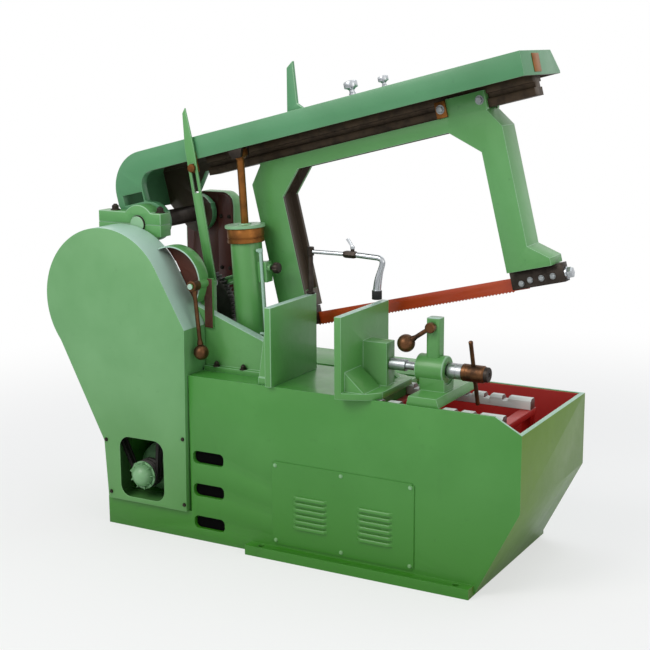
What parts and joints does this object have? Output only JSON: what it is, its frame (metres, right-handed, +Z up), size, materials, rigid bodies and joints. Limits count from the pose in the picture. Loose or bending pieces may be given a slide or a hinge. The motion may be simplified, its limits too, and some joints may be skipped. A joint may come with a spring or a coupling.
{
  "type": "power hacksaw",
  "caption": "Floor-standing power hacksaw: raised channel arm with a sliding bow and blade, belt guard, geared crank drive, lift cylinder, screw vise, coolant pipe and chip tray base.",
  "frame": {"origin": "on the floor, at the centre of the four floor bolts", "axes": "+X along the bed towards the chip tray, +Y from the front to the back, +Z up"},
  "size_m": [1.5125, 0.557, 1.3842],
  "materials": {
    "machine_paint": "gloss enamel",
    "guard_paint": "gloss enamel",
    "tray_paint": "satin enamel",
    "cover_paint": "satin enamel",
    "oily_steel": "oiled, ground",
    "ground_steel": "ground",
    "dark_steel": "blackened",
    "bright_steel": "polished",
    "blade_steel": "lacquered",
    "bronze": "turned",
    "cast": "machined",
    "rack_paint": "matt enamel",
    "belt_rubber": "matt",
    "black_rubber": "matt",
    "motor_paint": "satin enamel",
    "plated": "plated"
  },
  "bodies": {
    "base": {"base_cabinet": "machine_paint", "chip_tray": "tray_paint", "service_panel": "machine_paint", "headstock": "machine_paint", "front_bearing_cap": "machine_paint", "cap_bolts": "dark_steel", "rear_column": "machine_paint", "gear_cover": "cover_paint", "pivot_shaft": "dark_steel", "gear_bracket": "cast", "belt_guard": "guard_paint", "guard_backplate": "guard_paint", "motor": "motor_paint", "drive_belts": "belt_rubber", "trip_pivot": "ground_steel", "drive_hood": "machine_paint", "lift_foot": "cast", "fixed_jaw": "machine_paint", "rack_rails": "rack_paint", "rack_support": "tray_paint", "coolant_post": "dark_steel"},
    "arm": {"arm_beam": "machine_paint", "slideway": "oily_steel", "horn_plate": "machine_paint", "oil_cups": "plated", "arm_plate": "bronze", "lift_lug": "dark_steel", "trip_pin": "dark_steel"},
    "bow": {"bow_frame": "machine_paint", "bow_pin": "ground_steel", "slide_gib": "bronze", "saddle_bolts": "ground_steel", "saw_blade": "blade_steel", "blade_holder_right": "dark_steel", "blade_holder_left": "dark_steel", "blade_bolts": "ground_steel"},
    "rod_link": {"connecting_rod": "machine_paint", "crank_pin": "ground_steel"},
    "crank": {"crank_gear": "cast"},
    "countershaft_group": {"countershaft": "ground_steel", "belt_pulley": "cast", "drive_pinion": "ground_steel"},
    "motor_rotor": {"motor_pulley": "cast"},
    "cylinder": {"lift_cylinder": "machine_paint", "cylinder_cap": "bronze", "feed_valve": "machine_paint"},
    "piston": {"piston_rod": "bronze"},
    "valve_knob": {"feed_knob": "dark_steel"},
    "trip": {"trip_bar": "machine_paint"},
    "lever": {"control_lever": "bronze"},
    "vise_carriage": {"nut_bracket": "machine_paint", "nut_barrel": "machine_paint", "latch_post": "machine_paint"},
    "vise_jaw": {"moving_jaw": "machine_paint"},
    "screw": {"vise_screw": "ground_steel", "screw_sleeve": "ground_steel", "screw_collar": "ground_steel", "screw_hub": "bronze"},
    "tommy": {"tommy_bar": "bronze"},
    "latch": {"latch_lever": "bronze"},
    "coolant_arm": {"coolant_pipe": "bright_steel", "nozzle_tip": "black_rubber"},
    "coolant_tap": {"tap_lever": "bright_steel"}
  },
  "joints": [
    {"name": "arm_swing", "type": "hinge", "parent": "base", "child": "arm", "pos_m": [-0.774, 0, 0.89], "axis": [0, 1, 0], "range_deg": [0, 14.8]},
    {"name": "bow_slide", "type": "slide", "parent": "arm", "child": "bow", "axis": [0.9711, 0, 0.2385], "range_m": [-0.062, 0.086]},
    {"name": "rod_swing", "type": "hinge", "parent": "bow", "child": "rod_link", "pos_m": [-0.44323, 0.047, 0.75912], "axis": [0, 1, 0], "range_deg": [-1, 12]},
    {"name": "crank_spin", "type": "hinge", "parent": "base", "child": "crank", "pos_m": [-0.67145, 0.007, 0.6215], "axis": [0, 1, 0], "continuous": true},
    {"name": "countershaft_spin", "type": "hinge", "parent": "base", "child": "countershaft_group", "pos_m": [-0.819, 0.007, 0.678], "axis": [0, 1, 0], "continuous": true},
    {"name": "motor_spin", "type": "hinge", "parent": "base", "child": "motor_rotor", "pos_m": [-0.722, -0.225, 0.16], "axis": [0, 1, 0], "continuous": true},
    {"name": "cylinder_tilt", "type": "hinge", "parent": "base", "child": "cylinder", "pos_m": [-0.44, -0.053, 0.526], "axis": [0, 1, 0], "range_deg": [-1, 8]},
    {"name": "rod_slide", "type": "slide", "parent": "cylinder", "child": "piston", "axis": [-0.0628, 0, 0.998], "range_m": [-0.1, 0.002]},
    {"name": "feed_knob_turn", "type": "hinge", "parent": "cylinder", "child": "valve_knob", "pos_m": [-0.45558, -0.053, 0.77351], "axis": [0.998, 0, 0.0628], "range_deg": [-150, 150]},
    {"name": "trip_swing", "type": "hinge", "parent": "base", "child": "trip", "pos_m": [-0.555, -0.093, 0.726], "axis": [0, 1, 0], "range_deg": [-1, 10]},
    {"name": "lever_swing", "type": "hinge", "parent": "base", "child": "lever", "pos_m": [-0.535, -0.213, 0.739], "axis": [0, 1, 0], "range_deg": [-25, 0]},
    {"name": "carriage_slide", "type": "slide", "parent": "base", "child": "vise_carriage", "axis": [1, 0, 0], "range_m": [-0.085, 0.11]},
    {"name": "jaw_feed", "type": "slide", "parent": "vise_carriage", "child": "vise_jaw", "axis": [1, 0, 0], "range_m": [0, 0.032]},
    {"name": "screw_spin", "type": "hinge", "parent": "vise_jaw", "child": "screw", "pos_m": [0.04, -0.13, 0.562], "axis": [1, 0, 0], "range_deg": [-10, 1450]},
    {"name": "tommy_slide", "type": "slide", "parent": "screw", "child": "tommy", "axis": [0, -0.2924, 0.9563], "range_m": [-0.012, 0.012]},
    {"name": "latch_swing", "type": "hinge", "parent": "vise_carriage", "child": "latch", "pos_m": [0.1705, -0.13, 0.678], "axis": [0, 1, 0], "range_deg": [0, 40]},
    {"name": "coolant_swing", "type": "hinge", "parent": "base", "child": "coolant_arm", "pos_m": [-0.27, -0.015, 0.828], "axis": [0, 0, 1], "range_deg": [-60, 0]},
    {"name": "tap_turn", "type": "hinge", "parent": "coolant_arm", "child": "coolant_tap", "pos_m": [-0.136, -0.015, 0.848], "axis": [0, 0, 1], "range_deg": [0, 90]}
  ],
  "couplings": [
    {"joint": "rod_swing", "follows": "arm_swing", "ratio": 0.53318},
    {"joint": "cylinder_tilt", "follows": "arm_swing", "ratio": 0.31224},
    {"joint": "rod_slide", "follows": "arm_swing", "m_per_rad": -0.32226},
    {"joint": "trip_swing", "follows": "arm_swing", "ratio": 0.39111},
    {"joint": "countershaft_spin", "follows": "crank_spin", "ratio": -3.6471},
    {"joint": "motor_spin", "follows": "crank_spin", "ratio": -16.839},
    {"joint": "screw_spin", "follows": "jaw_feed", "rad_per_m": 785.4}
  ]
}
